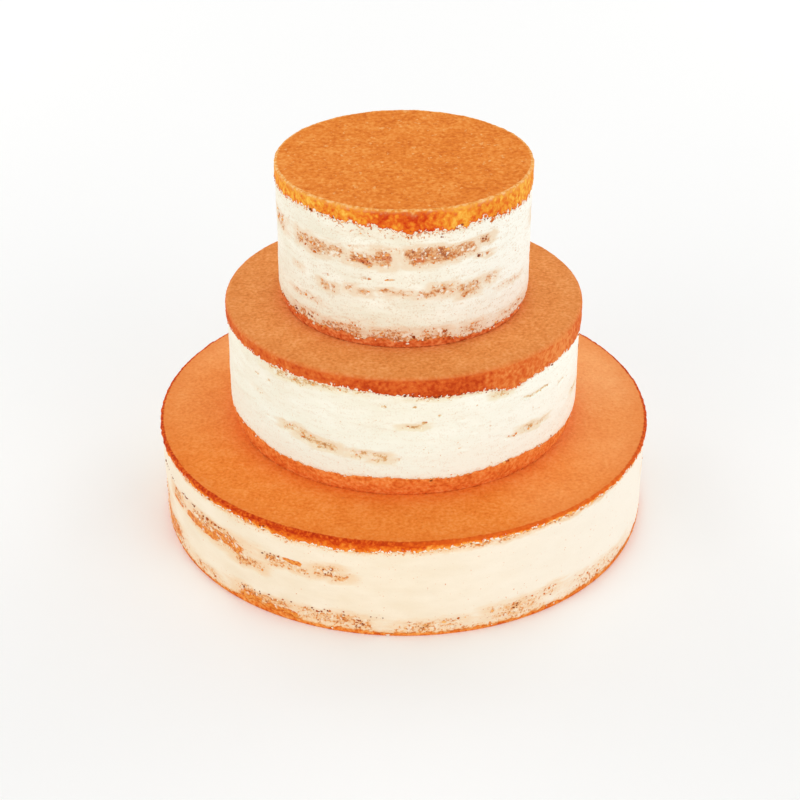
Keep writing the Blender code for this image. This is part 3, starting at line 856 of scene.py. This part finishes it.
# Crumbs: crumbs of sponge, some of them burnt, and flecks of cream that the scraper tore loose and
# left stuck in the coat and along its edges. Each kind is one piece, made by joining one small
# uneven lump for each grain.
draw = np.random.default_rng(28)
TRIES_PER_AREA = 1.1 / MM ** 2
CRUMB_IN_THIN, BURNT_IN_THIN, FLECK_IN_THIN = 0.24, 0.003, 0.02     # chance of a grain at each try
CRUMB_ON_EDGE, BURNT_ON_EDGE, BURNT_IN_PATCH = 0.15, 0.012, 0.8
BOTTOM.fleck_on_edge, MIDDLE.fleck_on_edge, TOP.fleck_on_edge = 0.015, 0.06, 0.09
LEAST_SIZE, MOST_SIZE = 0.22, 1.0                                   # of half a grain, in millimetres
LUMP_DEPTH = 0.65           # a grain lies flat against the side

bpy.ops.object.select_all(action="DESELECT")
bpy.ops.mesh.primitive_ico_sphere_add(subdivisions=1, radius=1.0, location=(0.0, 0.0, 0.0))
lump = bpy.context.object
lump_corners = read_points(lump)
lump_faces = np.array([polygon.vertices[:] for polygon in lump.data.polygons])
bpy.data.objects.remove(lump)


def strewn(tier):
    """Random places all over a tier's side, how thin the cream is there, and how far they are
    above and below it."""
    tries = int(TRIES_PER_AREA * math.tau * tier.radius * tier.height)
    angle = draw.uniform(-math.pi, math.pi, tries)
    height = draw.uniform(0.0, tier.height - 1.5 * MM, tries)
    thin, _, _, relief = coat_fields(tier, angle, height)
    above = height - coat_top_edge(tier, angle)
    below = coat_low_edge(tier, angle) - height
    cream_radius = tier.coat_face + relief - drawn_in(tier, height)
    radius = np.where(above > 0.0, tier.radius, cream_radius)
    radius = np.where(below > 0.0, tier.coat_face - FOOT_INSET - drawn_in(tier, height), radius)
    return angle, height, radius, thin, above, below


def edge_band(distance, inward, outward):
    """1 on a line, falling to 0 at these distances on its two sides."""
    return np.where(distance > 0.0, hump(distance, outward), hump(distance, inward))


def make_crumbs(name, spots, sizes, tones, finish):
    """Joins a lump at each spot (angle, radius, height) into one piece, each with its own form."""
    angle, radius, height = spots
    count = len(angle)
    form = lump_corners * draw.uniform(0.65, 1.35, (count, len(lump_corners), 1))
    twist = draw.uniform(0.0, math.tau, (count, 1))
    across = form[..., 1] * np.cos(twist) - form[..., 2] * np.sin(twist)
    upward = form[..., 1] * np.sin(twist) + form[..., 2] * np.cos(twist)
    out = LUMP_DEPTH * form[..., 0] * sizes[:, None]
    across = across * sizes[:, None] * draw.uniform(0.8, 1.5, (count, 1))
    upward = upward * sizes[:, None] * draw.uniform(0.7, 1.1, (count, 1))
    sine, cosine = np.sin(angle)[:, None], np.cos(angle)[:, None]
    reach = radius[:, None] + out
    columns = (reach * sine + across * cosine, across * sine - reach * cosine, height[:, None] + upward)
    points = np.stack(columns, axis=2)
    faces = lump_faces + len(lump_corners) * np.arange(count)[:, None, None]
    mesh = bpy.data.meshes.new(name)
    mesh.from_pydata(points.reshape(-1, 3).tolist(), [], faces.reshape(-1, 3).tolist())
    piece = bpy.data.objects.new(name, mesh)
    bpy.context.scene.collection.objects.link(piece)
    mesh.shade_smooth()
    mark_points(piece, "tone", np.repeat(tones, len(lump_corners)))
    mesh.materials.append(finish)
    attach(piece, "root")


def grain_finish(name, roughness, gloss, pore_size, tones):
    """A finish for loose grains, with a tone for each and pores in it."""
    material, tree, shader, place = start_finish(name, roughness, gloss)
    pores = speckle(tree, place, pore_size, 2.0)
    tone = sum_of(tree, (kept(tree, "tone"), 0.8), (pores, 0.4))
    paint(tree, shader, colour_scale(tree, tone, *tones))
    return material


CRUMB_TONES = (
    (0.10, (176, 84, 28)), (0.40, (216, 122, 50)), (0.70, (235, 156, 82)), (1.0, (248, 192, 118)),
)
BURNT_TONES = ((0.10, (104, 40, 18)), (0.50, (146, 66, 32)), (1.0, (190, 98, 50)))
FLECK_TONES = ((0.2, (242, 228, 202)), (1.0, CREAM_FLECK))
crumb_finish = grain_finish("sponge crumb", 0.85, SPONGE_GLOSS, 0.7 * MM, CRUMB_TONES)
burnt_finish = grain_finish("burnt crumb", 0.8, SPONGE_GLOSS, 0.7 * MM, BURNT_TONES)
fleck_finish = grain_finish("cream fleck", CREAM_ROUGHNESS, CREAM_GLOSS, 0.9 * MM, FLECK_TONES)

# Usual size of half a grain in millimetres, how much it varies, finish and slot.
GRAINS = {
    "sponge_crumbs": (0.44, 0.35, crumb_finish, "crumb"),
    "burnt_crumbs": (0.42, 0.30, burnt_finish, "bottom_crust"),
    "cream_flecks": (0.58, 0.32, fleck_finish, "cream"),
}
places = {name: [] for name in GRAINS}
for tier in TIERS:
    angle, height, radius, thin, above, below = strewn(tier)
    side = side_points(tier, angle, height)
    clumped = np.clip(0.5 + 0.9 * lumps(side, 3.5 * MM, 51), 0.0, 1.3)
    on_edge = 0.9 * edge_band(above, 2.2 * MM, 1.0 * MM) + 0.75 * edge_band(below, 2.4 * MM, 1.2 * MM)
    on_edge *= 1.2 * tier.ragged / MM
    on_cream = (above < 0.0) & (below < 0.0)
    crumb_chance = CRUMB_IN_THIN * np.clip(thin - 0.25, 0.0, 1.0) * on_cream + CRUMB_ON_EDGE * on_edge
    burnt_chance = BURNT_IN_PATCH * patchiness(side, angle, height, tier, tier.dark_patches)
    burnt_chance += BURNT_ON_EDGE * on_edge * clumped
    burnt_chance += BURNT_IN_THIN * np.clip(thin - 0.6, 0.0, 1.0) * on_cream
    fleck_chance = FLECK_IN_THIN * np.clip(thin - 0.5, 0.0, 1.0) * on_cream
    fleck_chance += tier.fleck_on_edge * on_edge * (~on_cream)
    for name, chance in zip(GRAINS, (crumb_chance * clumped, burnt_chance, fleck_chance)):
        chosen = draw.random(len(angle)) < chance
        places[name].append((angle[chosen], radius[chosen], height[chosen] + tier.base))

for name, (usual, spread, finish, slot) in GRAINS.items():
    angle, radius, height = (np.concatenate(column) for column in zip(*places[name]))
    sizes = usual * np.exp(spread * draw.standard_normal(len(angle)))
    sizes = MM * np.clip(sizes, LEAST_SIZE, MOST_SIZE)
    make_crumbs(name, (angle, radius, height), sizes, draw.random(len(angle)), finish)


# Floor and light: a wide pale floor in a bright even room, with four large soft lamps round the
# cake that keep its sides as bright as its faces.
FLOOR_SIZE = 8.0
FLOOR_TONE = (250, 250, 249)

bpy.ops.object.select_all(action="DESELECT")
bpy.ops.mesh.primitive_plane_add(size=FLOOR_SIZE, location=(0.0, 0.0, 0.0))
floor = bpy.context.object
floor.name = "floor"
floor_finish, _, shader, _ = start_finish("pale floor", 0.7, 0.2)
shader.inputs["Base Color"].default_value = linear(*FLOOR_TONE)
floor.data.materials.append(floor_finish)
floor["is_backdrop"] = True

WALL_LIGHT = 0.88           # the room is brighter round about than overhead
CEILING_LIGHT = 0.66
LAMP_TURNS = (-135, -45, 45, 135)
LAMP_DISTANCE = 2.0
LAMP_RISE = math.radians(24)
LAMP_AIM = 0.1              # height of the place that the lamps point at
LAMP_SIZE = 1.3
LAMP_POWER = 7.5

scene = bpy.context.scene
scene.world = bpy.data.worlds.new("bright room")
scene.world.use_nodes = True
tree = scene.world.node_tree
height = add_node(tree, "SeparateXYZ", {0: add_node(tree, "TexCoord").outputs["Generated"]}).outputs["Z"]
sockets = {"Value": height, "To Min": WALL_LIGHT, "To Max": CEILING_LIGHT}
strength = add_node(tree, "MapRange", sockets).outputs[0]
tree.links.new(strength, tree.nodes["Background"].inputs["Strength"])
tree.nodes["Background"].inputs["Color"].default_value = (1.0, 1.0, 1.0, 1.0)

for degrees in LAMP_TURNS:
    away = LAMP_DISTANCE * math.cos(LAMP_RISE)
    rise = LAMP_DISTANCE * math.sin(LAMP_RISE)
    turn = math.radians(degrees)
    spot = (away * math.sin(turn), -away * math.cos(turn), rise + LAMP_AIM)
    bpy.ops.object.light_add(type="AREA", location=spot, rotation=(math.pi / 2 - LAMP_RISE, 0.0, turn))
    lamp = bpy.context.object
    lamp.data.size = LAMP_SIZE
    lamp.data.energy = LAMP_POWER
scene.view_settings.view_transform = "Standard"

sizes = {"cad": [list(corner) for corner in cad_box], "visual": [list(corner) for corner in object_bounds()]}
